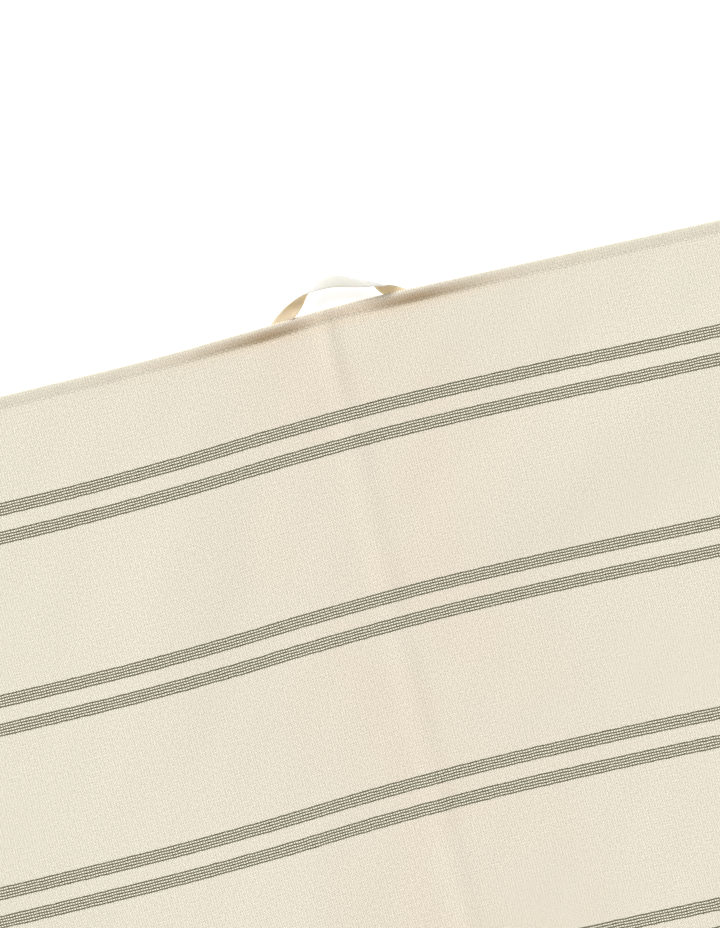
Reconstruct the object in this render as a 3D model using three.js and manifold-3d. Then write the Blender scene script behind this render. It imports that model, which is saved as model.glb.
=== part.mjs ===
// Beach towel of coarse flat-woven cotton with a tape hanging loop.
// It lies face up and smoothed out: a hem runs round all four sides, a crease runs down the middle,
// the cloth stands off the surface in a few low swells, and the hem curls up where the loop is sewn in.
// Millimetres, +Z up, X across the towel, Y along it towards the loop. The underside rests on z = 0.

import * as THREE from 'three';
import { mergeVertices } from 'three/addons/utils/BufferGeometryUtils.js';
import loadManifold from 'manifold-3d';

// Driving dimensions
const TOWEL_WIDTH = 1000;
const TOWEL_LENGTH = 1500;
const CLOTH_THICKNESS = 2;
const END_HEM_WIDTH = 10;
const SIDE_HEM_WIDTH = 8;
const HEM_THICKNESS = 4;
const HEM_FALL = 3; // run over which the hem's thickness falls to the cloth's
const HEM_EDGE_WALL = 0.3; // part of the thickness that stands upright at the folded edge
const TAPE_WIDTH = 12;
const TAPE_THICKNESS = 1;
const FACE_GAP = 0.35; // clearance between the tape's faces and the hem that holds its ends
const EDGE_GAP = 0.6; // clearance at the tape's edges, where it bends inside the hem

// Facet sizes
const BODY_STEP = 55;
const LOOP_ZONE = 110; // the stretch each side of the middle with finer facets
const LOOP_ZONE_STEP = 16;
const TAPE_STEPS_PER_ROW = 4;
const TAPE_STEPS_ACROSS = 6;

// The fold down the middle: a soft ridge along the whole length
const CREASE = { across: -9, halfWidth: 16, height: 1.2 };
const CREASE_PLACES = [-1, -0.6, -0.25, 0, 0.25, 0.6, 1];

// How far each weft thread is pulled along the towel, by its place across
const WEFT_BOW = [
  { across: -500, shift: -8 },
  { across: -250, shift: -9 },
  { across: -150, shift: -6.5 },
  { across: -75, shift: -2.5 },
  { across: 0, shift: 0 },
  { across: 60, shift: 0.4 },
  { across: 150, shift: -0.8 },
  { across: 250, shift: -3.4 },
  { across: 500, shift: -7 },
];

// How far the folded edge of the loop-end hem wanders out from the line of its weft, by its place
// across; the cloth follows it less and less over DRIFT_REACH
const EDGE_DRIFT = [
  { across: -500, shift: 1.5 },
  { across: -240, shift: 2 },
  { across: -200, shift: 1.3 },
  { across: -160, shift: 0.4 },
  { across: -100, shift: -0.6 },
  { across: -60, shift: -1.1 },
  { across: -20, shift: -0.3 },
  { across: 0, shift: 0 },
  { across: 60, shift: -0.6 },
  { across: 160, shift: -0.5 },
  { across: 200, shift: 0 },
  { across: 240, shift: 0.3 },
  { across: 500, shift: 0.6 },
];
const DRIFT_REACH = 60;

// How far that folded edge curls up, by its place across: most beside the loop's feet
const HEM_CURL = [
  { across: -500, lift: 0.3 },
  { across: -160, lift: 0.4 },
  { across: -140, lift: 0.6 },
  { across: -120, lift: 1.4 },
  { across: -80, lift: 3.6 },
  { across: -60, lift: 5 },
  { across: -40, lift: 3.8 },
  { across: -20, lift: 1.5 },
  { across: 0, lift: 0.8 },
  { across: 20, lift: 1.5 },
  { across: 40, lift: 3.8 },
  { across: 60, lift: 5 },
  { across: 80, lift: 3.8 },
  { across: 120, lift: 1.4 },
  { across: 140, lift: 0.7 },
  { across: 160, lift: 0.4 },
  { across: 500, lift: 0.3 },
];

// Low swells: the middle of each, the way it runs, its half axes and its height
const SWELLS = [
  { across: -180, along: 560, turn: 70, halfLength: 190, halfWidth: 70, height: 1.8 },
  { across: -60, along: 520, turn: 100, halfLength: 170, halfWidth: 55, height: 1.4 },
  { across: 170, along: 600, turn: 25, halfLength: 210, halfWidth: 75, height: 2 },
  { across: 330, along: 430, turn: 60, halfLength: 230, halfWidth: 90, height: 2.6 },
  { across: -380, along: 420, turn: 115, halfLength: 200, halfWidth: 80, height: 2.4 },
  { across: -150, along: 190, turn: 80, halfLength: 240, halfWidth: 90, height: 2.2 },
  { across: 180, along: 120, turn: 105, halfLength: 260, halfWidth: 85, height: 2.4 },
  { across: -360, along: -60, turn: 65, halfLength: 220, halfWidth: 90, height: 2.6 },
  { across: 380, along: -130, turn: 95, halfLength: 240, halfWidth: 80, height: 2.2 },
  { across: -120, along: -280, turn: 110, halfLength: 260, halfWidth: 95, height: 2.4 },
  { across: 150, along: -410, turn: 70, halfLength: 230, halfWidth: 85, height: 2.6 },
  { across: -330, along: -540, turn: 85, halfLength: 210, halfWidth: 90, height: 2.2 },
  { across: 320, along: -610, turn: 40, halfLength: 180, halfWidth: 75, height: 2 },
];

// The loop's tape from its left end to its right: the middle of its width, measured across from the
// towel's middle, along from the hem's folded edge and up from the surface, how far it is rolled
// about its own run and how far its section is curled, both in degrees. It comes out of the hem face
// up, turns over, and goes back in face up.
const TAPE_ROWS = [
  { x: -52.5, y: -7.5, z: 3.6, roll: -17, curl: 0 },
  { x: -44.4, y: -0.8, z: 6, roll: -17, curl: 9 },
  { x: -33.6, y: 6.8, z: 9.8, roll: -29.5, curl: 52 },
  { x: -23.3, y: 14.3, z: 12.7, roll: -78, curl: 62 },
  { x: -9.1, y: 19.2, z: 13.5, roll: -134.5, curl: 50 },
  { x: 3.1, y: 18.8, z: 15.1, roll: -149, curl: 52 },
  { x: 19, y: 14.2, z: 14.6, roll: -130, curl: 91 },
  { x: 32.4, y: 9.7, z: 13.6, roll: -98, curl: 107 },
  { x: 38.7, y: 5.3, z: 10, roll: -51.5, curl: 73 },
  { x: 45.7, y: -0.8, z: 6.1, roll: -21.5, curl: 10 },
  { x: 56.5, y: -7.5, z: 3.5, roll: -21, curl: 0 },
];
const SOCKET_ROWS = 2; // rows of the tape, from each end, along which the hem keeps its clearance
const SOCKET_SPARE = 0.07; // part of a row that a socket runs on past the tape's end

const halfWidth = TOWEL_WIDTH / 2;
const halfLength = TOWEL_LENGTH / 2;

// A smooth curve through a table: cubic pieces whose slopes come from the neighbouring rows.
function curveThrough(rows, key, value) {
  const last = rows.length - 1;
  const slope = rows.map((row, i) => {
    const before = rows[Math.max(i - 1, 0)];
    const after = rows[Math.min(i + 1, last)];
    return (after[value] - before[value]) / (after[key] - before[key]);
  });
  return (place) => {
    let i = 0;
    while (i < last - 1 && place > rows[i + 1][key]) i += 1;
    const run = rows[i + 1][key] - rows[i][key];
    const t = (place - rows[i][key]) / run;
    const startPart = rows[i][value] * (1 + 2 * t) + slope[i] * run * t;
    const endPart = rows[i + 1][value] * (3 - 2 * t) - slope[i + 1] * run * (1 - t);
    return startPart * (1 - t) ** 2 + endPart * t ** 2;
  };
}

// A soft hump: 1 in the middle, level at both ends, 0 from distance 1 on.
function hump(distance) {
  return distance < 1 ? 0.5 + 0.5 * Math.cos(Math.PI * distance) : 0;
}

const weftBow = curveThrough(WEFT_BOW, 'across', 'shift');
const edgeDrift = curveThrough(EDGE_DRIFT, 'across', 'shift');
const hemCurl = curveThrough(HEM_CURL, 'across', 'lift');

// Height of the cloth's underside above the surface.
function underside(x, y) {
  let height = CREASE.height * hump(Math.abs(x - CREASE.across) / CREASE.halfWidth);
  for (const swell of SWELLS) {
    const turn = THREE.MathUtils.degToRad(swell.turn);
    const dx = x - swell.across;
    const dy = y - swell.along;
    const run = (dx * Math.cos(turn) + dy * Math.sin(turn)) / swell.halfLength;
    const side = (dy * Math.cos(turn) - dx * Math.sin(turn)) / swell.halfWidth;
    height += swell.height * hump(Math.hypot(run, side));
  }
  const fromLoopEdge = halfLength - y;
  if (fromLoopEdge < END_HEM_WIDTH) {
    height += hemCurl(x) * (1 - fromLoopEdge / END_HEM_WIDTH);
  }
  return height;
}

// Thickness of the cloth: full over a hem, and falling to the single cloth inside it.
function thickness(fromSide, fromEnd) {
  const pastHem = Math.min(fromSide - SIDE_HEM_WIDTH, fromEnd - END_HEM_WIDTH) / HEM_FALL;
  return THREE.MathUtils.lerp(HEM_THICKNESS, CLOTH_THICKNESS, THREE.MathUtils.clamp(pastHem, 0, 1));
}

// Share of the thickness that is left near the rounded, folded edge.
function roundedEdge(fromEdge) {
  const radius = HEM_THICKNESS / 2;
  const inset = 1 - Math.min(fromEdge / radius, 1);
  return Math.max(HEM_EDGE_WALL, Math.sqrt(1 - inset ** 2));
}

// Grid lines across or along the towel: fixed places, with the gaps between them filled evenly.
function gridLines(fixedPlaces, stepAt) {
  const places = [...fixedPlaces].sort((a, b) => a - b);
  const lines = [places[0]];
  for (let i = 1; i < places.length; i += 1) {
    const start = places[i - 1];
    const gap = places[i] - start;
    const parts = Math.ceil(gap / stepAt(start + gap / 2));
    for (let k = 1; k <= parts; k += 1) lines.push(start + (gap * k) / parts);
  }
  return lines;
}

// The places that shape a hem, measured in from its folded edge.
function hemPlaces(hemWidth) {
  return [0, 0.15 * HEM_THICKNESS, 0.5 * HEM_THICKNESS, hemWidth, hemWidth + HEM_FALL];
}

// A closed solid between two grids of points. upper(i, j) and lower(i, j) give the points;
// seen from the upper side, j turns left from i.
function closedSheet(countI, countJ, upper, lower) {
  const positions = [];
  const index = [];
  const layer = countI * countJ;
  for (const side of [upper, lower]) {
    for (let i = 0; i < countI; i += 1) {
      for (let j = 0; j < countJ; j += 1) positions.push(...side(i, j));
    }
  }
  const quad = (a, b, c, d) => index.push(a, b, c, a, c, d);
  const at = (i, j) => i * countJ + j;
  for (let i = 0; i < countI - 1; i += 1) {
    for (let j = 0; j < countJ - 1; j += 1) {
      const corners = [at(i, j), at(i + 1, j), at(i + 1, j + 1), at(i, j + 1)];
      quad(...corners);
      // the lower side keeps the upper side's diagonal, seen from below
      const [a, b, c, d] = corners.map((corner) => corner + layer);
      quad(a, d, c, b);
    }
  }
  const wall = (a, b) => quad(b, a, a + layer, b + layer);
  for (let i = 0; i < countI - 1; i += 1) {
    wall(at(i, 0), at(i + 1, 0));
    wall(at(i + 1, countJ - 1), at(i, countJ - 1));
  }
  for (let j = 0; j < countJ - 1; j += 1) {
    wall(at(countI - 1, j), at(countI - 1, j + 1));
    wall(at(0, j + 1), at(0, j));
  }
  const geometry = new THREE.BufferGeometry();
  geometry.setAttribute('position', new THREE.Float32BufferAttribute(positions, 3));
  geometry.setIndex(index);
  return geometry;
}

// The cloth with its hems, as one sheet.
function towelSheet() {
  const sidePlaces = hemPlaces(SIDE_HEM_WIDTH).map((place) => halfWidth - place);
  const endPlaces = hemPlaces(END_HEM_WIDTH).map((place) => halfLength - place);
  const creasePlaces = CREASE_PLACES.map((part) => CREASE.across + part * CREASE.halfWidth);
  const mirrored = (places) => [...places, ...places.map((place) => -place)];
  const across = gridLines(
    [...mirrored([...sidePlaces, LOOP_ZONE]), ...creasePlaces],
    (x) => (Math.abs(x) < LOOP_ZONE ? LOOP_ZONE_STEP : BODY_STEP),
  );
  const along = gridLines(mirrored(endPlaces), () => BODY_STEP);

  const surface = (side) => (i, j) => {
    const x = across[i];
    const y = along[j];
    const fromSide = halfWidth - Math.abs(x);
    const fromEnd = halfLength - Math.abs(y);
    const half = thickness(fromSide, fromEnd) / 2;
    const left = roundedEdge(Math.min(fromSide, fromEnd));
    const drift = edgeDrift(x) * hump((halfLength - y) / DRIFT_REACH);
    return [x, y + weftBow(x) + drift, underside(x, y) + half + side * half * left];
  };
  return closedSheet(across.length, along.length, surface(1), surface(-1));
}

// One row of the tape's table at any place between its rows, by a Catmull-Rom curve.
function tapeRow(place) {
  const last = TAPE_ROWS.length - 1;
  const i = THREE.MathUtils.clamp(Math.floor(place), 0, last - 1);
  const t = place - i;
  const row = {};
  for (const key of Object.keys(TAPE_ROWS[0])) {
    const p1 = TAPE_ROWS[i][key];
    const p2 = TAPE_ROWS[i + 1][key];
    const p0 = i > 0 ? TAPE_ROWS[i - 1][key] : 2 * p1 - p2;
    const p3 = i + 2 <= last ? TAPE_ROWS[i + 2][key] : 2 * p2 - p1;
    const bend = 2 * p0 - 5 * p1 + 4 * p2 - p3;
    const twist = 3 * p1 - p0 - 3 * p2 + p3;
    row[key] = p1 + 0.5 * ((p2 - p0) * t + bend * t ** 2 + twist * t ** 3);
  }
  return row;
}

// The tape's middle, its run, its width and its face at one place along it.
function tapeFrame(place) {
  const row = tapeRow(place);
  const probe = 0.01;
  const before = tapeRow(place - probe);
  const after = tapeRow(place + probe);
  const run = new THREE.Vector3(after.x - before.x, after.y - before.y, after.z - before.z).normalize();
  const level = new THREE.Vector3().crossVectors(run, new THREE.Vector3(0, 0, 1)).normalize();
  const width = level.applyAxisAngle(run, -THREE.MathUtils.degToRad(row.roll));
  const face = new THREE.Vector3().crossVectors(width, run);
  const middle = new THREE.Vector3(row.x, row.y + halfLength + weftBow(row.x), row.z);
  return { middle, width, face, curl: THREE.MathUtils.degToRad(Math.max(row.curl, 0.1)) };
}

// A strip along the tape through places in its table, counted in rows: its section is an arc that
// curls towards the tape's face.
function tapeStrip(ends, stripWidth, stripThickness) {
  const frames = gridLines(ends, () => 1 / TAPE_STEPS_PER_ROW).map(tapeFrame);
  const surface = (side) => (i, j) => {
    const { middle, width, face, curl } = frames[j];
    const angle = curl * (i / TAPE_STEPS_ACROSS - 0.5);
    const radius = stripWidth / curl;
    const sideRadius = radius - (side * stripThickness) / 2;
    const point = middle.clone();
    point.addScaledVector(width, sideRadius * Math.sin(angle));
    point.addScaledVector(face, radius - sideRadius * Math.cos(angle));
    return point.toArray();
  };
  return closedSheet(TAPE_STEPS_ACROSS + 1, frames.length, surface(1), surface(-1));
}

// Cuts each cutter out of a body.
async function cutOut(body, cutters) {
  const wasm = await loadManifold();
  wasm.setup();
  const toSolid = (geometry) => {
    const merged = mergeVertices(geometry);
    const vertProperties = merged.getAttribute('position').array;
    const triVerts = new Uint32Array(merged.getIndex().array);
    return new wasm.Manifold(new wasm.Mesh({ numProp: 3, vertProperties, triVerts }));
  };
  let solid = toSolid(body);
  for (const cutter of cutters) solid = solid.subtract(toSolid(cutter));
  const mesh = solid.getMesh();
  const geometry = new THREE.BufferGeometry();
  geometry.setAttribute('position', new THREE.BufferAttribute(mesh.vertProperties, 3));
  geometry.setIndex(new THREE.BufferAttribute(mesh.triVerts, 1));
  return geometry;
}

function piece(name, geometry, color, roughness) {
  geometry.computeVertexNormals();
  const material = new THREE.MeshStandardMaterial({ color, roughness, metalness: 0 });
  const mesh = new THREE.Mesh(geometry, material);
  mesh.name = name;
  return mesh;
}

const lastRow = TAPE_ROWS.length - 1;
const socketEnds = [
  [-SOCKET_SPARE, 0, SOCKET_ROWS],
  [lastRow - SOCKET_ROWS, lastRow, lastRow + SOCKET_SPARE],
];
const sockets = socketEnds.map((ends) =>
  tapeStrip(ends, TAPE_WIDTH + 2 * EDGE_GAP, TAPE_THICKNESS + 2 * FACE_GAP),
);
const tape = tapeStrip([0, lastRow], TAPE_WIDTH, TAPE_THICKNESS);

const beachTowel = new THREE.Group();
beachTowel.add(piece('towel', await cutOut(towelSheet(), sockets), '#e9e2d0', 0.95));
beachTowel.add(piece('hanging_loop', tape, '#f0ede4', 0.85));

// The origin is on the surface, under the middle of the whole piece.
const extent = new THREE.Box3().setFromObject(beachTowel);
const middle = extent.getCenter(new THREE.Vector3());
beachTowel.position.set(-middle.x, -middle.y, 0);

export default beachTowel;
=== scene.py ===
# %% [markdown]
# # A striped beach towel, drawn with arrays
# The real object is a flat-woven cotton beach towel, spread out face up, with a tape loop at one end.
# The CAD model has settled its sizes, so this lesson adds what the eye looks for: soft folds, turned
# hems, the weave, the woven stripes and the sewing. Each piece is a surface worked out with numpy.

import bpy
import numpy as np
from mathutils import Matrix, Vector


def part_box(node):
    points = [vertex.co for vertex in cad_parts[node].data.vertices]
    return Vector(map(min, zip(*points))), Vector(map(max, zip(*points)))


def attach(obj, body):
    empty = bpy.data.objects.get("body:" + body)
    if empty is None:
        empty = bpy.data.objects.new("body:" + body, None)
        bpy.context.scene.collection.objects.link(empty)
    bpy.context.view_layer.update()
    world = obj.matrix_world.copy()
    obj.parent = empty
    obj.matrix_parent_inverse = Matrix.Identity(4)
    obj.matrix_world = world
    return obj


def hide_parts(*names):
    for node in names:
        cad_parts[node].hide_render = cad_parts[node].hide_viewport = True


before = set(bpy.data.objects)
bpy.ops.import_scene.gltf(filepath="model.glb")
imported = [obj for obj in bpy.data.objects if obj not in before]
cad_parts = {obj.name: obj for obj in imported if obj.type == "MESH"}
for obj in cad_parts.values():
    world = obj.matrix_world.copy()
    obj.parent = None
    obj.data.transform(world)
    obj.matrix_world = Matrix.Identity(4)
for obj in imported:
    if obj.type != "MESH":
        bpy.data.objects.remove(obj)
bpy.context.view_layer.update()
print("CAD nodes:", sorted(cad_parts))

# %% [markdown]
# ## Sizes
# A maker gives the sizes of a towel in millimetres, so the tables below do too, and one scale takes the
# finished points to Blender's metres. X runs across the towel, Y along it towards the loop, Z up.

# %% Cutting sizes, in millimetres
MM = 0.001
TOWEL_WIDTH = 1000
TOWEL_LENGTH = 1500
CLOTH_THICKNESS = 2
END_HEM = 10
SIDE_HEM = 8
HALF_WIDTH = TOWEL_WIDTH / 2
HALF_LENGTH = TOWEL_LENGTH / 2
print("towel", TOWEL_WIDTH, "x", TOWEL_LENGTH, "mm")

# %% [markdown]
# ## Curves through tables
# Cloth is uneven in its own way, so the bends are listed one by one: a table gives a few places and how far
# the cloth has moved there. A cubic curve joins the rows. A straight line between them would leave a
# kink at every row, which the light would show.


# %% A smooth curve through a table
def curve_through(table):
    """Cubic pieces through (place, value) rows. The slope at a row is that of the line from the row
    before it to the row after it."""
    places, values = np.array(table, float).T
    row = np.arange(len(places))
    before = np.maximum(row - 1, 0)
    after = np.minimum(row + 1, len(places) - 1)
    slopes = (values[after] - values[before]) / (places[after] - places[before])

    def value_at(place):
        place = np.clip(place, places[0], places[-1])
        i = np.clip(np.searchsorted(places, place, side="right") - 1, 0, len(places) - 2)
        run = places[i + 1] - places[i]
        t = (place - places[i]) / run
        start = values[i] * (1 + 2 * t) + slopes[i] * run * t
        end = values[i + 1] * (3 - 2 * t) - slopes[i + 1] * run * (1 - t)
        return start * (1 - t) ** 2 + end * t**2

    return value_at


def hump(distance):
    """A soft hump: 1 in the middle, falling as a half cosine wave to 0 at distance 1."""
    return 0.5 + 0.5 * np.cos(np.pi * np.minimum(np.abs(distance), 1))


print("hump at 0, 1/2 and 1:", hump(np.array([0, 0.5, 1])))

# %% [markdown]
# ## How the towel lies
# The weft threads are pulled out of line, so the stripes and the end hem run in long shallow bows. One
# fold mark runs down the middle as a low ridge, which the loop's hem pinches up higher, and the cloth
# stands off the surface in broad swells. The end hem curls up where the loop pulls at it. Moving each
# point of a flat grid by these amounts is steadier than a cloth simulation here, because each bend stays
# where the real one is.

# %% Bows, fold mark, swells and curl
WEFT_BOW = [(-500, -8), (-250, -9), (-150, -6.5), (-75, -2.5), (0, 0), (60, 0.4), (150, -0.8),
            (250, -3.4), (500, -7)]
EDGE_DRIFT = [(-500, 1.5), (-240, 2), (-200, 1.3), (-160, 0.4), (-100, -0.6), (-60, -1.1), (-20, -0.3),
              (0, 0), (60, -0.6), (160, -0.5), (200, 0), (240, 0.3), (500, 0.6)]
DRIFT_REACH = 60
HEM_CURL = [(-500, 0.3), (-160, 0.4), (-140, 0.6), (-120, 1.4), (-80, 3.6), (-60, 5), (-40, 3.8),
            (-20, 1.5), (0, 0.8), (20, 1.5), (40, 3.8), (60, 5), (80, 3.8), (120, 1.4), (140, 0.7),
            (160, 0.4), (500, 0.3)]
HIGHEST_CURL = 5
# share of the curl by the distance from the folded edge
CURL_SHAPE = [(0, 1), (2, 0.99), (3, 0.96), (4, 0.9), (5, 0.81), (7, 0.59), (9, 0.32), (10, 0.18),
              (11, 0.07), (12, 0.015), (13, 0)]
CREASE_ACROSS = -13
CREASE_HALF_WIDTH = 16
CREASE_HEIGHT = 1.2
PINCH_HEIGHT = 1.4
PINCH_HALF_WIDTH = 9
PINCH_FROM_FOLD = 22
PINCH_REACH = 70

# across, along, turn in degrees, half length, half width, height
SWELLS = np.array([
    (-180, 560, 70, 190, 70, 1.8),
    (-60, 520, 100, 170, 55, 1.4),
    (170, 600, 25, 210, 75, 2.0),
    (330, 430, 60, 230, 90, 2.6),
    (-380, 420, 115, 200, 80, 2.4),
    (-150, 190, 80, 240, 90, 2.2),
    (180, 120, 105, 260, 85, 2.4),
    (-360, -60, 65, 220, 90, 2.6),
    (380, -130, 95, 240, 80, 2.2),
    (-120, -280, 110, 260, 95, 2.4),
    (150, -410, 70, 230, 85, 2.6),
    (-330, -540, 85, 210, 90, 2.2),
    (320, -610, 40, 180, 75, 2.0),
])
weft_bow = curve_through(WEFT_BOW)
edge_drift = curve_through(EDGE_DRIFT)
hem_curl = curve_through(HEM_CURL)
curl_shape = curve_through(CURL_SHAPE)


def swell_height(x, y):
    """Sum of the swells: each is a hump over an ellipse that is turned in plan."""
    across, along, turn, half_length, half_width, height = SWELLS.T
    turn = np.radians(turn)
    dx = x[..., None] - across
    dy = y[..., None] - along
    run = (dx * np.cos(turn) + dy * np.sin(turn)) / half_length
    side = (dy * np.cos(turn) - dx * np.sin(turn)) / half_width
    return (height * hump(np.hypot(run, side))).sum(axis=-1)


# wave length across and along, start, height
COCKLES = np.array([
    (61, 143, 0.4, 0.07),
    (-47, 96, 2.1, 0.06),
    (88, -57, 4.4, 0.07),
    (-39, -131, 1.3, 0.05),
])


def cockle_height(x, y):
    """Faint unevenness: a sum of slanting sine waves, lifted so that it is never below 0."""
    across, along, start, height = COCKLES.T
    phase = 2 * np.pi * (x[..., None] / across + y[..., None] / along) + start
    return (height * (1 + np.sin(phase))).sum(axis=-1)


def underside_height(x, y):
    """Ridge of the fold mark + its pinch near the loop's hem + swells + cockles + the curl, which bends up
    at the hem's stitch line and levels off at its folded edge."""
    from_fold = HALF_LENGTH - y
    ridge = CREASE_HEIGHT * hump((x - CREASE_ACROSS) / CREASE_HALF_WIDTH)
    pinch = PINCH_HEIGHT * hump((x - CREASE_ACROSS) / PINCH_HALF_WIDTH)
    pinch = pinch * hump((from_fold - PINCH_FROM_FOLD) / PINCH_REACH)
    curl = hem_curl(x) * curl_shape(from_fold)
    return ridge + pinch + swell_height(x, y) + cockle_height(x, y) + curl


print("highest swell", round(float(SWELLS[:, 5].max()), 2), "mm, curl", hem_curl(np.array([-60, 0, 60])))

# %% [markdown]
# ## The section of a hem
# A hem is the cloth's edge folded over twice and sewn down along its inner edge. In section it has a round
# nose at the fold, a padded top that falls to the cloth, and a groove below where the stitches draw it in.
# The height of that section depends only on the distance from the folded edge, so one curve serves all
# four sides. Beside the loop the underside bulges over the tape's ends.

# %% Hem section
# distance from the fold in hem widths, with 10 mm to a unit past the inner edge; height over the cloth
HEM_TOP = [(0, 0.98), (0.12, 1.04), (0.25, 1.04), (0.45, 0.84), (0.65, 0.58), (0.78, 0.42), (0.84, 0.33),
           (0.88, 0.29), (0.92, 0.17), (0.96, 0.05), (1, 0), (1.15, -0.02), (1.4, 0.01), (1.8, 0), (3, 0)]
PAST_HEM = 10
NOSE_RADIUS = 1.1
STITCH_PLACE = 0.99
GROOVE_DEPTH = 0.45
GROOVE_HALF_WIDTH = 0.16
HEM_LUMP = 0.12
LUMP_PLACE = 0.3
# wave length along the hem, start
LUMP_WAVES = [(23, 1), (37, 2.2)]
FOOT_ACROSS = 48
FOOT_HALF_WIDTH = 18
FOOT_FROM_FOLD = 5
FOOT_REACH = 7
FOOT_BULGE = 0.95
hem_top = curve_through(HEM_TOP)


def hem_place(from_edge, hem):
    """Place in the hem's section: 0 at the fold, 1 at the inner edge."""
    return np.where(from_edge < hem, from_edge / hem, 1 + (from_edge - hem) / PAST_HEM)


def hem_lumps(run):
    """Uneven filling of a hem along its run: two sine waves of unlike length."""
    return sum(np.sin(2 * np.pi * run / length + start) for length, start in LUMP_WAVES)


def towel_heights(x, y):
    """Upper and lower height of the cloth. The top is the underside + thickness + the stronger of the two
    hem sections; the bottom is drawn up at the stitch lines and bulges where the tape's ends lie in the
    hem; both meet in a quarter circle at the fold."""
    from_side = HALF_WIDTH - np.abs(x)
    from_end = HALF_LENGTH - np.abs(y)
    side_place = hem_place(from_side, SIDE_HEM)
    end_place = hem_place(from_end, END_HEM)
    side_top = hem_top(side_place)
    end_top = hem_top(end_place)
    top = CLOTH_THICKNESS + np.where(np.abs(side_top) > np.abs(end_top), side_top, end_top)
    lumps_across = hem_lumps(x) * hump(end_place - LUMP_PLACE)
    lumps_along = hem_lumps(y) * hump(side_place - LUMP_PLACE)
    top += HEM_LUMP * (lumps_across + lumps_along)
    groove = hump((end_place - STITCH_PLACE) / GROOVE_HALF_WIDTH) * (side_place > 1)
    groove = np.maximum(groove, hump((side_place - STITCH_PLACE) / GROOVE_HALF_WIDTH) * (end_place > 1))
    foot = hump((np.abs(x) - FOOT_ACROSS) / FOOT_HALF_WIDTH) * (y > 0)
    foot = foot * hump((from_end - FOOT_FROM_FOLD) / FOOT_REACH)
    bottom = GROOVE_DEPTH * groove * (1 - foot) - FOOT_BULGE * foot
    inset = 1 - np.minimum(np.minimum(from_side, from_end) / NOSE_RADIUS, 1)
    nose = np.sqrt(1 - inset**2)
    base = underside_height(x, y) + (top + bottom) / 2
    half = (top - bottom) / 2 * nose
    return base + half, base - half


print("hem top at fold, middle, inner edge:", CLOTH_THICKNESS + hem_top(np.array([0, 0.5, 1.0])))

# %% [markdown]
# ## A grid that is fine where the shape is
# The hems need a line every millimetre or less, and the open cloth only one every few. So the lines are
# fixed at the hems and the gaps are filled at a step that suits the place. The cloth stays well below the
# number of triangles that a viewer can turn smoothly.

# %% Grid lines
HEM_LINES = np.array([0, 0.012, 0.045, 0.1, 0.18, 0.29, 0.43, 0.58, 0.7, 0.78, 0.84, 0.88, 0.92, 0.96, 1])
PAST_HEM_LINES = np.array([0.5, 1, 2, 3, 4.5, 7, 10])
MIDDLE_ZONE = 300
NEAR_LOOP_END = 640
FINE_STEP = 4
OPEN_STEP = 14


def hem_lines(hem):
    """Distances from the folded edge that draw the hem's section."""
    return np.concatenate([hem * HEM_LINES, hem + PAST_HEM_LINES])


def grid_lines(fixed, step_at):
    """Fixed places in order, with each gap between two of them filled evenly."""
    places = np.unique(fixed)
    runs = [np.linspace(a, b, int(np.ceil((b - a) / step_at((a + b) / 2))), endpoint=False)
            for a, b in zip(places[:-1], places[1:])]
    return np.concatenate([*runs, places[-1:]])


def both_ways(places):
    """The places and their mirror images."""
    return np.concatenate([places, -places])


across = grid_lines(
    both_ways(np.append(HALF_WIDTH - hem_lines(SIDE_HEM), MIDDLE_ZONE)),
    lambda x: FINE_STEP if abs(x) < MIDDLE_ZONE else OPEN_STEP,
)
along = grid_lines(
    np.append(both_ways(HALF_LENGTH - hem_lines(END_HEM)), NEAR_LOOP_END),
    lambda y: FINE_STEP if y > NEAR_LOOP_END else OPEN_STEP,
)
print("grid", len(across), "x", len(along), "lines")

# %% [markdown]
# ## From arrays to a mesh
# Two helpers turn arrays into Blender meshes. The first joins an upper and a lower grid into one closed
# skin: the two grids share their rim, so the edge has no gap. The second makes the object, shades it
# smooth and stores for each point where it is on the flat cloth, which the material reads later.


# %% Mesh helpers
def closed_skin(upper, lower):
    """Points and four-sided faces of a closed skin between two grids of points with a common rim."""
    rows, columns = upper.shape[:2]
    top = np.arange(rows * columns).reshape(rows, columns)
    inner = np.zeros((rows, columns), bool)
    inner[1:-1, 1:-1] = True
    bottom = top.copy()
    bottom[inner] = rows * columns + np.arange(inner.sum())
    points = np.concatenate([upper.reshape(-1, 3), lower[inner]])

    def quads(grid):
        return np.stack([grid[:-1, :-1], grid[1:, :-1], grid[1:, 1:], grid[:-1, 1:]], axis=-1).reshape(-1, 4)

    return points, np.concatenate([quads(top), quads(bottom)[:, ::-1]]), inner


def make_piece(name, points, faces, attributes):
    """A smooth mesh object from millimetre points; each attribute has three numbers for each point."""
    mesh = bpy.data.meshes.new(name)
    mesh.from_pydata((points * MM).tolist(), [], faces.tolist())
    for attribute, rows in attributes.items():
        layer = mesh.attributes.new(attribute, "FLOAT_VECTOR", "POINT")
        layer.data.foreach_set("vector", np.ascontiguousarray(rows, np.float32).ravel())
    mesh.shade_smooth()
    mesh.validate()
    piece = bpy.data.objects.new(name, mesh)
    bpy.context.scene.collection.objects.link(piece)
    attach(piece, "root")
    print(name, len(mesh.vertices), "points", 2 * len(mesh.polygons), "triangles")
    return piece
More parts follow.
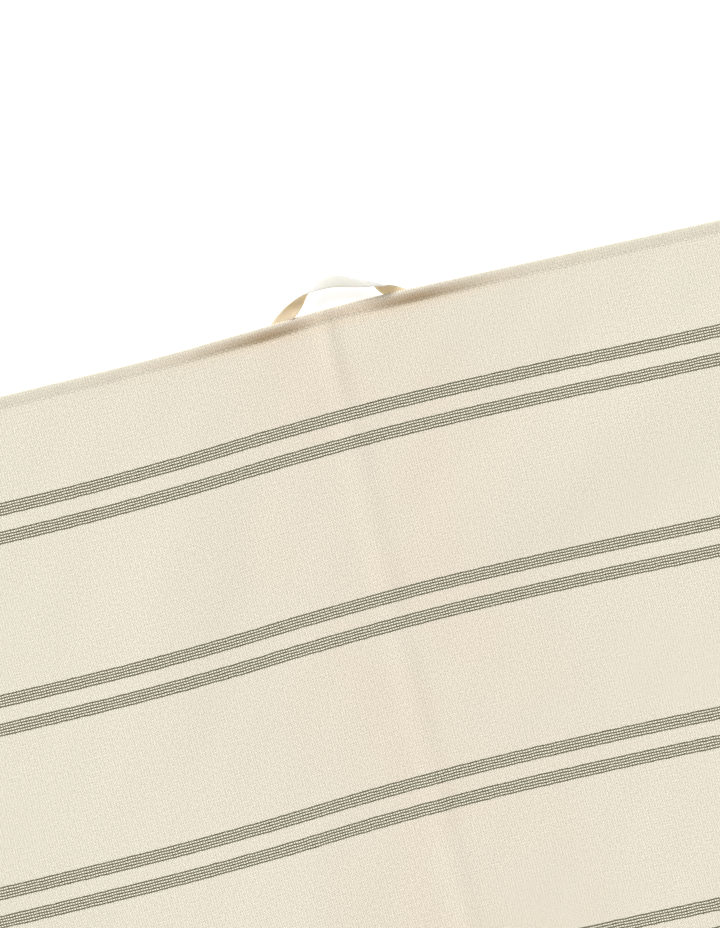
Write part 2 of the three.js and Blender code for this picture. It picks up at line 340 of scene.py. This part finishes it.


# %% [markdown]
# ## The cloth
# The cloth is one sheet with its hems. Each grid point is a point of the flat towel: it is pulled along
# by the bow of its weft thread and lifted by the heights above. The corners are rounded a little, as
# folded corners are. The CAD box tells how far the frame's origin is from the towel's middle. Light that
# goes back and forth between the layers of a hem comes out warmer, most of all where the hem curls into
# shade. That warm shade is painted into the cloth's colour, so each point also stores how much painted
# shade it takes.

# %% Painted warm shade of the hem
# share of each painted shade by the distance from the folded edge
HEM_SHARE = [(0, 0), (2, 0.15), (3, 0.45), (5, 1), (7, 1), (8, 0.9), (9, 0.75), (11, 0.6), (14, 0.5), (20, 0)]
FOOT_SHARE = [(0, 0), (2, 0), (3, 0.15), (5, 0.55), (7, 0.9), (8, 1), (9, 1), (10, 0.85), (11, 0.5),
              (13, 0.1), (15, 0)]
DARKEST_FOLD = 8
FAR_SHARE = 0.3
HEM_REACH = 220
FOOT_POWER = 1.5
hem_share = curve_through(HEM_SHARE)
foot_share = curve_through(FOOT_SHARE)


def painted_hem_shades(x, y, from_fold):
    """Shares of two painted shades: a warm one for every hem, stronger round the loop, and a darker one where
    the hem curls most.
    """
    loop_end = y > 0
    hem = (FAR_SHARE + (1 - FAR_SHARE) * hump(x / HEM_REACH) * loop_end) * hem_share(from_fold)
    foot = (hem_curl(x) / HIGHEST_CURL) ** FOOT_POWER * foot_share(from_fold) * loop_end
    return hem, foot


loop_painted_shades = painted_hem_shades(np.array([-60, 0, 60]), HALF_LENGTH, DARKEST_FOLD)
print("tints at the loop", [share.round(2) for share in loop_painted_shades])

# %% Towel
CORNER_RADIUS = 5
# the underside's distance from the fold and painted shades, as shares of the upper side's
UNDERSIDE_SHARES = (1, 0.3, 0)
towel_low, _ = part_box("towel")
SLIDE = towel_low.y / MM + HALF_LENGTH - weft_bow(across).min()


def in_plan(x, y):
    """Plan of the lying cloth: corners rounded by the square to disc rule, p sqrt(1 - q^2 / 2), then each
    point moved along by the bow, by the drift of the loop's hem and by the slide to the frame's origin."""
    p = np.clip(1 - (HALF_WIDTH - np.abs(x)) / CORNER_RADIUS, 0, 1)
    q = np.clip(1 - (HALF_LENGTH - np.abs(y)) / CORNER_RADIUS, 0, 1)
    pull_x = CORNER_RADIUS * p * (1 - np.sqrt(1 - q**2 / 2))
    pull_y = CORNER_RADIUS * q * (1 - np.sqrt(1 - p**2 / 2))
    drift = edge_drift(x) * hump((HALF_LENGTH - y) / DRIFT_REACH)
    return x - np.sign(x) * pull_x, y - np.sign(y) * pull_y + weft_bow(x) + drift + SLIDE


flat_x, flat_y = np.meshgrid(across, along, indexing="ij")
plan_x, plan_y = in_plan(flat_x, flat_y)
upper_z, lower_z = towel_heights(flat_x, flat_y)
towel_points, towel_faces, towel_inner = closed_skin(
    np.stack([plan_x, plan_y, upper_z], axis=-1),
    np.stack([plan_x, plan_y, lower_z], axis=-1),
)
from_fold = np.minimum(HALF_WIDTH - np.abs(flat_x), HALF_LENGTH - np.abs(flat_y))
# distance from the fold, then the shares of the two painted hem shades
hem_rows = [from_fold, *painted_hem_shades(flat_x, flat_y, from_fold)]


def on_both_sides(grids, inner, below=(1, 1, 1)):
    """Rows of an attribute for the upper grid, then, times `below`, for the inner points of the lower one."""
    rows = np.stack(grids, axis=-1)
    return np.concatenate([rows.reshape(-1, 3), rows[inner] * below])


towel = make_piece("towel_cloth", towel_points, towel_faces, {
    "cloth_place": on_both_sides([flat_x, flat_y, 0 * flat_x], towel_inner),
    "hem_place": on_both_sides(hem_rows, towel_inner, UNDERSIDE_SHARES),
})
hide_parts("towel")

# %% [markdown]
# ## The sewing
# A lockstitch shows as a row of short dashes along the hem's inner edge, on both faces. Each dash is a
# little thread that comes up at one end and goes down at the other. One dash is worked out as a tube of a
# few faces, and the array repeats it along all four sides, because a few thousand separate objects would
# slow everything down.

# %% Stitches
STITCH_PITCH = 4.6
STITCH_LENGTH = 4.2
STITCH_MARGIN = 3.5
STITCH_RINGS = 5
STITCH_SIDES = 6
STITCH_SINK = 0.3
THREAD_RADIUS = 0.36
THREAD_TAPER = 0.6
LOWEST_THREAD = 0.02


def stitch_rows():
    """Middle of every stitch on the flat cloth and the way it runs: two rows across, two rows along."""
    over_width = np.arange(STITCH_MARGIN - HALF_WIDTH, HALF_WIDTH - STITCH_MARGIN, STITCH_PITCH)
    over_length = np.arange(STITCH_MARGIN - HALF_LENGTH, HALF_LENGTH - STITCH_MARGIN, STITCH_PITCH)
    end_line = np.full_like(over_width, HALF_LENGTH - END_HEM * STITCH_PLACE)
    side_line = np.full_like(over_length, HALF_WIDTH - SIDE_HEM * STITCH_PLACE)
    x = np.concatenate([over_width, over_width, side_line, -side_line])
    y = np.concatenate([end_line, -end_line, over_length, over_length])
    runs_across = np.arange(len(x)) < 2 * len(over_width)
    return x, y, runs_across


def stitch_tubes(face):
    """Tubes along the stitch lines. The middle of the thread lies on the cloth's face (1 for the top, -1 for
    the bottom) and sinks at its ends as the square of the distance; its radius narrows to the tips. The
    places say how far along and round the thread a point is, and how much painted shade of the feet it takes."""
    x, y, runs_across = stitch_rows()
    part = np.linspace(-1, 1, STITCH_RINGS)
    angle = np.linspace(0, 2 * np.pi, STITCH_SIDES, endpoint=False)
    step = part * STITCH_LENGTH / 2
    ring_x = x[:, None] + np.where(runs_across, 1, 0)[:, None] * step
    ring_y = y[:, None] + np.where(runs_across, 0, 1)[:, None] * step
    plan_x, plan_y = in_plan(ring_x, ring_y)
    top, bottom = towel_heights(ring_x, ring_y)
    ring_z = np.where(face > 0, top, bottom) - face * STITCH_SINK * part**2
    radius = THREAD_RADIUS * (1 - THREAD_TAPER * part**4)
    sideways = radius[:, None] * np.cos(angle)
    upright = radius[:, None] * np.sin(angle)
    tube_x = plan_x[..., None] + np.where(runs_across, 0, 1)[:, None, None] * sideways
    tube_y = plan_y[..., None] + np.where(runs_across, 1, 0)[:, None, None] * sideways
    tube_z = ring_z[..., None] + upright
    tubes = np.stack([tube_x, tube_y, np.maximum(tube_z, LOWEST_THREAD)], axis=-1)
    # share of the painted shade at the loop's feet, on the top face only
    shade = painted_hem_shades(x, y, DARKEST_FOLD)[1] * (face > 0)
    places = np.stack(np.broadcast_arrays(step[:, None], angle, shade[:, None, None]), axis=-1)
    return tubes.reshape(-1, 3), places.reshape(-1, 3), runs_across


def tube_faces(runs_across):
    """Four-sided faces round each tube, and two that close each six-sided end. The faces of tubes that run
    along the towel are turned over, because their sideways direction is the other hand."""
    ring = np.arange(STITCH_RINGS - 1)[:, None] * STITCH_SIDES
    side = np.arange(STITCH_SIDES)[None, :]
    after = (side + 1) % STITCH_SIDES
    near = ring + side
    beside = ring + after
    wall = np.stack([near, beside, beside + STITCH_SIDES, near + STITCH_SIDES], axis=-1)
    first = STITCH_SIDES * (STITCH_RINGS - 1)
    caps = np.array([[3, 2, 1, 0], [5, 4, 3, 0]])
    far_caps = first + np.array([[0, 1, 2, 3], [0, 3, 4, 5]])
    one = np.concatenate([wall.reshape(-1, 4), caps, far_caps])
    start = np.arange(len(runs_across))[:, None, None] * STITCH_SIDES * STITCH_RINGS
    faces = one[None] + start
    faces = np.where(runs_across[:, None, None], faces, faces[:, :, ::-1])
    return faces.reshape(-1, 4)


top_tubes, top_places, runs_across = stitch_tubes(1)
bottom_tubes, bottom_places, _ = stitch_tubes(-1)
faces = tube_faces(runs_across)
stitches = make_piece(
    "hem_stitches",
    np.concatenate([top_tubes, bottom_tubes]),
    np.concatenate([faces, faces + len(top_tubes)]),
    {"thread_place": np.concatenate([top_places, bottom_places])},
)

# %% [markdown]
# ## The tape loop
# The loop is a length of cotton tape whose ends are caught in the hem. It comes out face up, stands on
# edge, turns over at the top and goes back in face up. A table of rows gives the middle of the tape, how
# far it is rolled about its own run and how much its section curls, and the surface is that arc carried
# along the path. A curve object with a bevel would not let the roll and the curl change along the way.

# %% Tape
TAPE_WIDTH = 12
TAPE_THICKNESS = 1
TAPE_STEPS_PER_ROW = 16
TAPE_STEPS_ACROSS = 26
RUN_STEP = 0.01
LEAST_CURL = 0.1
EDGE_POWER = 10
END_POWER = 60

# across, along from the hem's fold, up, roll and curl in degrees
TAPE_ROWS = np.array([
    (-52.5, -7.5, 3.6, -17, 0),
    (-44.4, -0.8, 6, -17, 9),
    (-33.6, 6.8, 9.8, -29.5, 52),
    (-23.3, 14.3, 12.7, -78, 62),
    (-9.1, 19.2, 13.5, -134.5, 50),
    (3.1, 18.8, 15.1, -149, 52),
    (19, 14.2, 14.6, -130, 91),
    (32.4, 9.7, 13.6, -98, 107),
    (38.7, 5.3, 10, -51.5, 73),
    (45.7, -0.8, 6.1, -21.5, 10),
    (56.5, -7.5, 3.5, -21, 0),
])


def tape_at(place):
    """A Catmull-Rom curve through the rows: place 2.5 is half way from row 2 to row 3."""
    before = 2 * TAPE_ROWS[:1] - TAPE_ROWS[1:2]
    beyond = 2 * TAPE_ROWS[-1:] - TAPE_ROWS[-2:-1]
    rows = np.concatenate([before, TAPE_ROWS, beyond])
    i = np.clip(np.floor(place).astype(int), 0, len(TAPE_ROWS) - 2)
    t = (place - i)[:, None]
    p0, p1, p2, p3 = rows[i], rows[i + 1], rows[i + 2], rows[i + 3]
    bend = 2 * p0 - 5 * p1 + 4 * p2 - p3
    twist = 3 * p1 - p0 - 3 * p2 + p3
    return p1 + 0.5 * ((p2 - p0) * t + bend * t**2 + twist * t**3)


def unit(vectors):
    """Vectors of the same direction and length 1."""
    return vectors / np.linalg.norm(vectors, axis=-1, keepdims=True)


def tape_faces(place, part):
    """Both faces of the tape. The width W is the level direction turned about the run by the roll, the face
    N is W x run, and the section is an arc: middle + r sin(a) W + (R - r cos(a)) N."""
    row = tape_at(place)
    run = unit(tape_at(place + RUN_STEP)[:, :3] - tape_at(place - RUN_STEP)[:, :3])
    level = unit(np.cross(run, [0, 0, 1]))
    roll = np.radians(row[:, 3:4])
    width = np.cos(roll) * level + np.sin(roll) * np.cross(level, run)
    face = np.cross(width, run)
    hem_fold = HALF_LENGTH + weft_bow(row[:, 0]) + SLIDE
    middle = row[:, :3] + np.stack([0 * place, hem_fold, 0 * place], axis=-1)
    curl = np.radians(np.maximum(row[:, 4], LEAST_CURL))
    arc = curl * part[:, None]
    radius = TAPE_WIDTH / curl
    rounded = np.sqrt(1 - np.abs(2 * part) ** EDGE_POWER)[:, None]
    tucked = np.sqrt(1 - np.abs(2 * place / place[-1] - 1) ** END_POWER)
    half = TAPE_THICKNESS / 2 * rounded * tucked
    faces = []
    for side in (1, -1):
        side_radius = radius - side * half
        outwards = (side_radius * np.sin(arc))[..., None] * width
        inwards = (radius - side_radius * np.cos(arc))[..., None] * face
        faces.append(middle + outwards + inwards)
    run_length = np.concatenate([[0], np.linalg.norm(np.diff(middle, axis=0), axis=1).cumsum()])
    return *faces, run_length


tape_place = np.linspace(0, len(TAPE_ROWS) - 1, TAPE_STEPS_PER_ROW * (len(TAPE_ROWS) - 1) + 1)
tape_part = np.sin(np.pi * np.linspace(-0.5, 0.5, TAPE_STEPS_ACROSS + 1)) / 2
face_side, back_side, tape_run = tape_faces(tape_place, tape_part)
tape_points, tape_quads, tape_inner = closed_skin(face_side, back_side)
across_tape, along_tape = np.meshgrid(tape_part * TAPE_WIDTH, tape_run, indexing="ij")
on_face = np.stack([across_tape, along_tape, np.ones_like(across_tape)], axis=-1)
on_back = on_face * (1, 1, -1)
loop = make_piece("loop_tape", tape_points, tape_quads, {
    "tape_place": np.concatenate([on_face.reshape(-1, 3), on_back[tape_inner]]),
})
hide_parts("hanging_loop")

# %% [markdown]
# ## The flat size of cloth
# A sheet of cloth has a flat size, and the finished shape must still have that area.

print("towel, stitches and loop made")

# %% [markdown]
# ## Writing a material as sums
# Blender's materials are nodes joined by links. A weave is easier to read as a formula, so this class
# wraps one socket and lets Python's + - * / add the nodes that do the sum. Any other node comes from
# `node`, which takes the node's type, its settings, and the values or links of its sockets.


# %% One socket, with arithmetic
class Strand:
    """One socket of a material. Sums on it add Math nodes, or Vector Math where it is a vector or colour."""

    def __init__(self, tree, socket):
        self.tree = tree
        self.socket = socket

    def node(self, kind, settings=None, sockets=None, output=0):
        made = self.tree.nodes.new(kind)
        for name, value in (settings or {}).items():
            setattr(made, name, value)
        for name, value in (sockets or {}).items():
            if isinstance(value, Strand):
                self.tree.links.new(value.socket, made.inputs[name])
            else:
                made.inputs[name].default_value = value
        return Strand(self.tree, made.outputs[output])

    def is_vector(self):
        return self.socket.type in ("VECTOR", "RGBA")

    def work(self, operation, *values):
        """The Math node of that name, on numbers or strands."""
        vector = any(
            value.is_vector() if isinstance(value, Strand) else np.size(value) > 1 for value in values
        )
        kind = "ShaderNodeVectorMath" if vector else "ShaderNodeMath"
        if vector:
            values = [(value,) * 3 if isinstance(value, (int, float)) else value for value in values]
        return self.node(kind, {"operation": operation}, dict(enumerate(values)))

    def __add__(self, other):
        return self.work("ADD", self, other)

    def __radd__(self, other):
        return self.work("ADD", other, self)

    def __sub__(self, other):
        return self.work("SUBTRACT", self, other)

    def __rsub__(self, other):
        return self.work("SUBTRACT", other, self)

    def __mul__(self, other):
        return self.work("MULTIPLY", self, other)

    def __rmul__(self, other):
        return self.work("MULTIPLY", other, self)

    def __truediv__(self, other):
        return self.work("DIVIDE", self, other)

    def __abs__(self):
        return self.work("ABSOLUTE", self)

    def __gt__(self, other):
        return self.work("GREATER_THAN", self, other)

    def __lt__(self, other):
        return self.work("LESS_THAN", self, other)

    def attribute(self, name):
        """The numbers that the piece carries under that name."""
        return self.node("ShaderNodeAttribute", {"attribute_name": name}, None, "Vector")

    def part(self, axis):
        """One of a vector's three numbers."""
        return self.node("ShaderNodeSeparateXYZ", None, {0: self}, axis)

    def noise(self, scale, detail=1.0, output="Fac"):
        """Noise over the first two numbers of a vector."""
        return self.node("ShaderNodeTexNoise", {"noise_dimensions": "2D"},
                         {"Vector": self, "Scale": scale, "Detail": detail}, output)

    def ramp(self, low, high):
        """0 below low, 1 above high, and a soft rise between them."""
        return self.node("ShaderNodeMapRange", {"interpolation_type": "SMOOTHSTEP"},
                         {"Value": self, "From Min": low, "From Max": high})

    def between(self, first, second):
        """Mixes two colours, or a colour and a strand: first where this value is 0, second where it is 1."""
        return self.node("ShaderNodeMix", {"data_type": "RGBA"},
                         {0: self, 6: first, 7: second}, 2)

    def bump(self, strength, distance):
        """A normal, tilted as if this value were a height."""
        return self.node("ShaderNodeBump", None,
                         {"Strength": strength, "Distance": distance, "Height": self})


def start_material(name, attribute):
    """A new material with one Principled shader, and the attribute that the piece carries."""
    material = bpy.data.materials.new(name)
    material.use_nodes = True
    tree = material.node_tree
    shader = tree.nodes["Principled BSDF"]
    return material, shader, Strand(tree, shader.inputs[0]).attribute(attribute)


def feed(shader, sockets):
    """Links strands, or sets constant numbers, on a shader's own sockets."""
    for name, value in sockets.items():
        if isinstance(value, Strand):
            value.tree.links.new(value.socket, shader.inputs[name])
        else:
            shader.inputs[name].default_value = value


print("operators ready")

# %% [markdown]
# ## The weave
# The cloth is a plain weave of thick cotton: about nine and a half threads to the centimetre each way,
# each weft thread passing over one warp thread and under the next. With s = sin(pi x number of threads)
# for either set, the product of the two changes its sign from each crossing to the next, as the thread on
# top does: the weft where it is above 0. The warp is a little paler than the weft, so this product gives
# the cloth its grain. The warp threads come through the reed in pairs, which leaves a faint line beside
# every second one. Slow noise makes the threads wander and quicker noise makes them uneven, because an
# even grid would look printed. Along its middle the cloth is a little pinker, in patches.

# %% Threads of the cloth
END_PITCH = 1.035
FIRST_PAIR = 95
STRIPE_PAIRS = 10
PICKS_PER_REPEAT = 134
FIRST_DARK_PICK = 14.5
PICK_PITCH = (TOWEL_LENGTH - 2 * FIRST_PAIR) / (STRIPE_PAIRS - 1) / PICKS_PER_REPEAT
WANDER = 0.9
WANDER_SCALE = 0.11

cotton, cotton_shader, place = start_material("towel_cotton", "cloth_place")
wander = place.noise(WANDER_SCALE, 2.0, "Color") - 0.5
threads = place + WANDER * wander
ends = threads.part(0) / END_PITCH
picks = (threads.part(1) - (HALF_LENGTH - FIRST_PAIR)) / PICK_PITCH + FIRST_DARK_PICK
warp_wave = ends.work("SINE", np.pi * ends)
weft_wave = picks.work("SINE", np.pi * picks)
reed_mark = ends.work("COSINE", np.pi * ends)
over = warp_wave * weft_wave
print("pick pitch", round(PICK_PITCH, 4), "mm")

# %% Cream cloth
CREAM = (0.756, 0.72, 0.6, 1)
PINK_CREAM = (0.756, 0.686, 0.567, 1)
PINK_REACH = 280
PATCH_SCALE = 0.012
PATCH_LOW = 0.35
PATCH_HIGH = 0.65
PATCH_SHARE = 0.3
# painted shade: the hems warmer where light goes between their layers, darker and browner where they curl at
# the loop's feet
HEM_PAINTED_WARM_SHADE = (1, 0.93, 0.885, 1)
FOOT_PAINTED_SHADE = (0.9, 0.79, 0.64, 1)
NO_TINT = (1, 1, 1, 1)
UNEVEN_SCALE = 0.65
# how much each wave shades the cloth
OVER_SHADE = 0.22
REED_SHADE = 0.075
PICK_SHADE = 0.04
UNEVEN_SHADE = 0.45
uneven = place.noise(UNEVEN_SCALE, 1.0) - 0.5
patchy = place.noise(PATCH_SCALE, 1.0).ramp(PATCH_LOW, PATCH_HIGH)
pink = (1 - abs(place.part(0)).ramp(0, PINK_REACH)) * ((1 - PATCH_SHARE) + PATCH_SHARE * patchy)
grain = 1 - OVER_SHADE * over + REED_SHADE * reed_mark - PICK_SHADE * weft_wave + UNEVEN_SHADE * uneven
hem = place.attribute("hem_place")
# paints the hems' warm shade and the darker shade at the loop's feet into the cloth's colour
painted_hem_shade = hem.part(1).between(NO_TINT, HEM_PAINTED_WARM_SHADE) * hem.part(2).between(NO_TINT, FOOT_PAINTED_SHADE)
cream_cloth = pink.between(CREAM, PINK_CREAM) * grain * painted_hem_shade
print("grain of", len(cotton.node_tree.nodes), "nodes")

# %% [markdown]
# ## The stripes
# Dark weft threads make the stripes: each band has five dark picks with pale ones between them, two bands
# lie close together, and the pair repeats along the towel. The picks are beaten in hard, so the dark ones
# spread over their neighbours, and a pale dot is left only where a warp thread crosses over a pale pick.
# Each of these darkens or lightens the thread by a share, so the sum is made of logarithms and an
# exponential ends it.

# %% Stripes
BAND_STARTS = (0, 20)
BAND_PICKS = 9
BAND_SPREAD = 0.4
OLIVE_TINT = (1.075, 1.0, 0.66, 1)
PALE_TINT = (1.04, 1.0, 0.84, 1)
# logarithm of the middle tone, and how much each wave adds to it or takes away
MIDDLE_LOG = -1.15
PICK_LOG = 1.35
END_LOG = 0.35
OVER_LOG = 1.6
UNEVEN_LOG = 2
count = picks.work("FLOORED_MODULO", picks + BAND_SPREAD, PICKS_PER_REPEAT) - BAND_SPREAD
in_band = sum(
    (count > start - BAND_SPREAD) * (count < start + BAND_PICKS + BAND_SPREAD) for start in BAND_STARTS
)
log_tone = MIDDLE_LOG - PICK_LOG * weft_wave + END_LOG * warp_wave - OVER_LOG * over + UNEVEN_LOG * uneven
tone = log_tone.work("MINIMUM", log_tone.work("EXPONENT", log_tone), 1)
striped_cloth = tone.between(OLIVE_TINT, PALE_TINT) * tone
print("stripe repeat", round(PICKS_PER_REPEAT * PICK_PITCH, 2), "mm")

# %% Cotton
RAISED_THREAD = 0.0003
OVER_LIFT = 0.4
THREAD_RELIEF = 0.3
PUCKER = 0.3
PUCKER_REACH = 5
warp_top = abs(warp_wave) * (1 - OVER_LIFT * over)
weft_top = abs(weft_wave) * (1 + OVER_LIFT * over)
stitch_turn = (place.part(0) + place.part(1)) * (2 * np.pi / STITCH_PITCH)
beside_stitches = abs(hem.part(0) - END_HEM * STITCH_PLACE)
pucker = (1 - beside_stitches.ramp(0, PUCKER_REACH)) * stitch_turn.work("COSINE", stitch_turn)
relief = THREAD_RELIEF * warp_top.work("MAXIMUM", warp_top, weft_top) + PUCKER * pucker
feed(cotton_shader, {
    "Base Color": in_band.between(cream_cloth, striped_cloth),
    "Roughness": 0.92,
    "Normal": relief.bump(1, RAISED_THREAD),
    "Specular IOR Level": 0.2,
    "Sheen Weight": 0.08,
    "Sheen Roughness": 0.5,
})
towel.data.materials.append(cotton)
print("towel_cotton:", len(cotton.node_tree.nodes), "nodes")

# %% [markdown]
# ## Thread and tape
# The sewing thread is paler than the cloth and twisted, which shows as a fine slant round each dash. At the
# loop's feet the hem's shade is painted on it. The tape is a close twill of thin, nearly white cotton. Light
# passes through it, so the side in shade glows warm; subsurface scattering gives part of that, and the
# tape's face, which lies in shade at the feet, is painted tan as a painted warm glow.

# %% Sewing thread
THREAD_CREAM = (0.9, 0.86, 0.76, 1)
THREAD_SHADE = (0.8, 0.745, 0.64, 1)
# painted shade: the thread darker and browner where it lies in the hem's curl at the loop's feet
THREAD_PAINTED_SHADE = (0.75, 0.65, 0.5, 1)
THREAD_TWIST = 5.0
PLY_HEIGHT = 0.0001
thread, thread_shader, thread_place = start_material("sewing_thread", "thread_place")
twist = thread_place.part(0) * THREAD_TWIST + thread_place.part(1)
ply = 0.5 + 0.5 * twist.work("SINE", twist)
painted_foot_shade = thread_place.part(2).between(NO_TINT, THREAD_PAINTED_SHADE)
feed(thread_shader, {
    "Base Color": ply.between(THREAD_SHADE, THREAD_CREAM) * painted_foot_shade,
    "Roughness": 0.75,
    "Normal": ply.bump(0.4, PLY_HEIGHT),
})
stitches.data.materials.append(thread)
print("sewing_thread:", len(thread.node_tree.nodes), "nodes")

# %% Tape
TAPE_WHITE = (0.625, 0.625, 0.61, 1)
# painted warm glow: the tape's face, in shade at the feet, is given a tan colour for light passing through
# the tape
TAPE_PAINTED_WARM_GLOW = (0.75, 0.645, 0.55, 1)
TWILL_PITCH = 0.75
TWILL_HEIGHT = 0.0002
TWILL_SHADE = 0.07
# painted shade: a darker line along both edges of the tape
EDGE_SHADE_FROM = 5.3
EDGE_SHADE_TO = 5.6
EDGE_PAINTED_SHADE = 0.14
FACE_BLEND = 0.6
tape, tape_shader, tape_spot = start_material("loop_tape", "tape_place")
slant = (tape_spot.part(1) + abs(tape_spot.part(0))) * (2 * np.pi / TWILL_PITCH)
twill = 0.5 + 0.5 * slant.work("SINE", slant)
on_painted_glow_side = tape_spot.part(2).ramp(-FACE_BLEND, FACE_BLEND)
painted_edge_shade = abs(tape_spot.part(0)).ramp(EDGE_SHADE_FROM, EDGE_SHADE_TO)
# the twill's pattern times the painted shade at the edges
twill_and_painted_edge_shade = ((1 - TWILL_SHADE) + TWILL_SHADE * twill) * (1 - EDGE_PAINTED_SHADE * painted_edge_shade)
tape_colour = on_painted_glow_side.between(TAPE_WHITE, TAPE_PAINTED_WARM_GLOW) * twill_and_painted_edge_shade
feed(tape_shader, {
    "Base Color": tape_colour,
    "Roughness": 0.85,
    "Normal": twill.bump(0.25, TWILL_HEIGHT),
    "Specular IOR Level": 0.25,
    "Subsurface Weight": 0.85,
    "Subsurface Radius": (1, 0.9, 0.6),
    "Subsurface Scale": 0.003,
})
loop.data.materials.append(tape)
print("loop_tape:", len(tape.node_tree.nodes), "nodes")

# %% [markdown]
# ## Floor, light and camera
# The towel is shown from straight above on a pale floor, turned a little to the left. One large soft light
# stands at the top left of the picture at a middling height, so the ridges and the hem show, and an even
# world light fills the shadows. The floor glows faintly to stay white up to the cloth's edge. Rays that
# leave the cloth meet the world and the floor by themselves, so only the sun has to be aimed at, and the
# picture has less noise to hide the weave.

# %% Floor
FLOOR_HALF = 30
FLOOR_DROP = 0.0003
FLOOR_GLOW = 0.55
floor_mesh = bpy.data.meshes.new("floor")
floor_signs = [(-1, -1), (1, -1), (1, 1), (-1, 1)]
floor_corners = [(x * FLOOR_HALF, y * FLOOR_HALF, -FLOOR_DROP) for x, y in floor_signs]
floor_mesh.from_pydata(floor_corners, [], [(0, 1, 2, 3)])
floor = bpy.data.objects.new("floor", floor_mesh)
bpy.context.scene.collection.objects.link(floor)
paper = bpy.data.materials.new("floor_paper")
paper.use_nodes = True
feed(paper.node_tree.nodes["Principled BSDF"], {
    "Base Color": (0.9, 0.9, 0.9, 1),
    "Roughness": 0.9,
    "Emission Color": (1, 1, 1, 1),
    "Emission Strength": FLOOR_GLOW,
})
paper.cycles.emission_sampling = "NONE"
floor_mesh.materials.append(paper)
print("floor", 2 * FLOOR_HALF, "m wide")

# %% Camera
PICTURE_TURN = np.radians(13.5)
LENS = 100
SENSOR = 36
PICTURE_HEIGHT = 0.7238
VIEW_MIDDLE = (-0.0113, 0.6185)
camera_data = bpy.data.cameras.new("camera")
camera_data.lens = LENS
camera_data.sensor_width = SENSOR
camera = bpy.data.objects.new("camera", camera_data)
camera.location = (*VIEW_MIDDLE, PICTURE_HEIGHT / SENSOR * LENS)
camera.rotation_euler = (0, 0, -PICTURE_TURN)
bpy.context.scene.collection.objects.link(camera)
bpy.context.scene.camera = camera
print("camera height", round(camera.location.z, 3), "m")

# %% Light
LIGHT_HEIGHT = np.radians(47)
LIGHT_BEARING = np.radians(40)
LIGHT_SPREAD = np.radians(25)
LIGHT_STRENGTH = 3.0
WORLD_STRENGTH = 0.4
key_data = bpy.data.lights.new("soft_key", "SUN")
key_data.angle = LIGHT_SPREAD
key_data.energy = LIGHT_STRENGTH
key = bpy.data.objects.new("soft_key", key_data)
key.rotation_euler = (np.pi / 2 - LIGHT_HEIGHT, 0, np.pi + LIGHT_BEARING - PICTURE_TURN)
bpy.context.scene.collection.objects.link(key)
world = bpy.data.worlds.new("studio")
world.use_nodes = True
feed(world.node_tree.nodes["Background"], {"Color": (1, 0.985, 0.96, 1), "Strength": WORLD_STRENGTH})
world.cycles.sampling_method = "NONE"
bpy.context.scene.world = world
bpy.context.scene.view_settings.view_transform = "Standard"
print("key light", LIGHT_STRENGTH, "spread", round(float(np.degrees(LIGHT_SPREAD))), "degrees")
